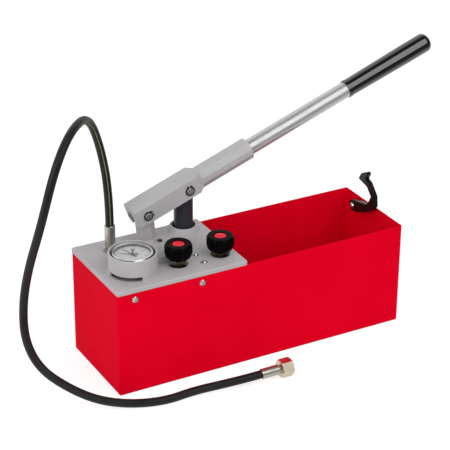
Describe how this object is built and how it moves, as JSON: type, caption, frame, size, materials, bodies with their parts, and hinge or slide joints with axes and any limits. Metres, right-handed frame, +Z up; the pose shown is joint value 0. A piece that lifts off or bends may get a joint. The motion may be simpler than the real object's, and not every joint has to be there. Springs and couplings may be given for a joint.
{
  "type": "hydrostatic test pump",
  "caption": "Hand-worked pressure test pump: lever, cylinder, gauge and valves on a cast plate over an open red water tank, with a pressure hose.",
  "frame": {"origin": "middle of the tank's flat underside, which stands on the floor", "axes": "+X along the tank from the pump head towards the handle latch, +Y to the lever's side (back), +Z up"},
  "size_m": [0.722, 0.2348, 0.4122],
  "materials": {
    "tank": "bright red baked enamel, semi-gloss",
    "casting": "light grey paint over a fine cast texture",
    "block": "machined",
    "screw_steel": "zinc plated",
    "barrel": "turned brass",
    "pipe": "drawn tube",
    "ball": "polished ball",
    "strainer": "moulded black plastic",
    "rod": "dark blue-grey surface-hardened steel",
    "piston": "turned brass",
    "seal": "moulded rubber",
    "lever": "grey paint over a fine cast texture",
    "pin": "turned steel",
    "clip": "spring steel",
    "handle": "bright galvanised tube",
    "grip": "glossy black plastic",
    "latch": "black moulded plastic",
    "knob": "black moulded plastic",
    "cap": "red plastic cap",
    "gland": "turned brass",
    "spindle": "turned brass",
    "gauge_case": "black",
    "bezel": "bright chrome",
    "glass": "clear window",
    "dial": "white printed dial",
    "pointer": "black",
    "button": "turned bronze",
    "bourdon": "bent tube",
    "fitting": "yellow-passivated zinc plating",
    "hose": "matt black smooth cover",
    "union": "plated brass",
    "washer": "flat rubber washer"
  },
  "bodies": {
    "pump": {"tank": "tank", "head_plate": "casting", "vent_plug": "latch", "valve_block": "block", "block_screws": "screw_steel", "tank_screws": "screw_steel", "cylinder_barrel": "barrel", "cylinder_foot": "barrel", "suction_ball": "ball", "suction_strainer": "strainer", "delivery_pipe": "pipe", "return_pipe": "pipe", "hook_screw": "screw_steel", "hook_nut": "screw_steel", "hook_spacer": "screw_steel", "shutoff_gland": "gland", "release_gland": "gland", "gauge_case": "gauge_case", "gauge_bezel": "bezel", "gauge_glass": "glass", "gauge_dial": "dial", "gauge_bourdon_tube": "bourdon", "outlet_nipple": "fitting", "inlet_ferrule": "fitting", "pressure_hose": "hose", "end_ferrule": "fitting", "end_nipple": "union", "coupling_washer": "washer"},
    "lever": {"lever_beam": "lever", "fulcrum_pin": "pin", "piston_pin": "pin", "pin_clips": "clip", "handle_tube": "handle", "handle_grip": "grip"},
    "piston": {"piston_rod": "rod", "piston_head": "piston", "piston_seal": "seal"},
    "latch": {"handle_hook": "latch"},
    "shutoff_valve": {"shutoff_spindle": "spindle", "shutoff_knob": "knob", "shutoff_cap": "cap"},
    "release_valve": {"release_spindle": "spindle", "release_knob": "knob", "release_cap": "cap"},
    "pointer": {"gauge_pointer": "pointer"},
    "drag_pointer": {"gauge_drag_pointer": "pointer", "gauge_button": "button"},
    "union_nut": {"coupling_nut": "union"}
  },
  "joints": [
    {"name": "lever_swing", "type": "hinge", "parent": "pump", "child": "lever", "pos_m": [-0.1355, 0.052, 0.2183], "axis": [0, -1, 0], "range_deg": [-23.45, 12.8]},
    {"name": "piston_slide", "type": "slide", "parent": "pump", "child": "piston", "axis": [0, 0, 1], "range_m": [-0.0287, 0.0157]},
    {"name": "latch_swing", "type": "hinge", "parent": "pump", "child": "latch", "pos_m": [0.22925, 0.0384, 0.152], "axis": [1, 0, 0], "range_deg": [-58.6, 120]},
    {"name": "shutoff_turn", "type": "hinge", "parent": "pump", "child": "shutoff_valve", "pos_m": [-0.1241, -0.0402, 0.16], "axis": [0, 0, 1], "range_deg": [0, 540]},
    {"name": "release_turn", "type": "hinge", "parent": "pump", "child": "release_valve", "pos_m": [-0.0553, -0.0402, 0.16], "axis": [0, 0, 1], "range_deg": [0, 540]},
    {"name": "pointer_turn", "type": "hinge", "parent": "pump", "child": "pointer", "pos_m": [-0.1919, -0.0289, 0.19], "axis": [0, 0, -1], "range_deg": [0, 270], "stiffness_Nm_per_rad": 0.0002},
    {"name": "drag_pointer_turn", "type": "hinge", "parent": "pump", "child": "drag_pointer", "pos_m": [-0.1919, -0.0289, 0.196], "axis": [0, 0, 1], "continuous": true},
    {"name": "union_nut_turn", "type": "hinge", "parent": "pump", "child": "union_nut", "pos_m": [0.001, -0.139, 0.0126], "axis": [1, 0, 0], "continuous": true}
  ],
  "couplings": [
    {"joint": "piston_slide", "follows": "lever_swing", "m_per_rad": 0.0698}
  ]
}
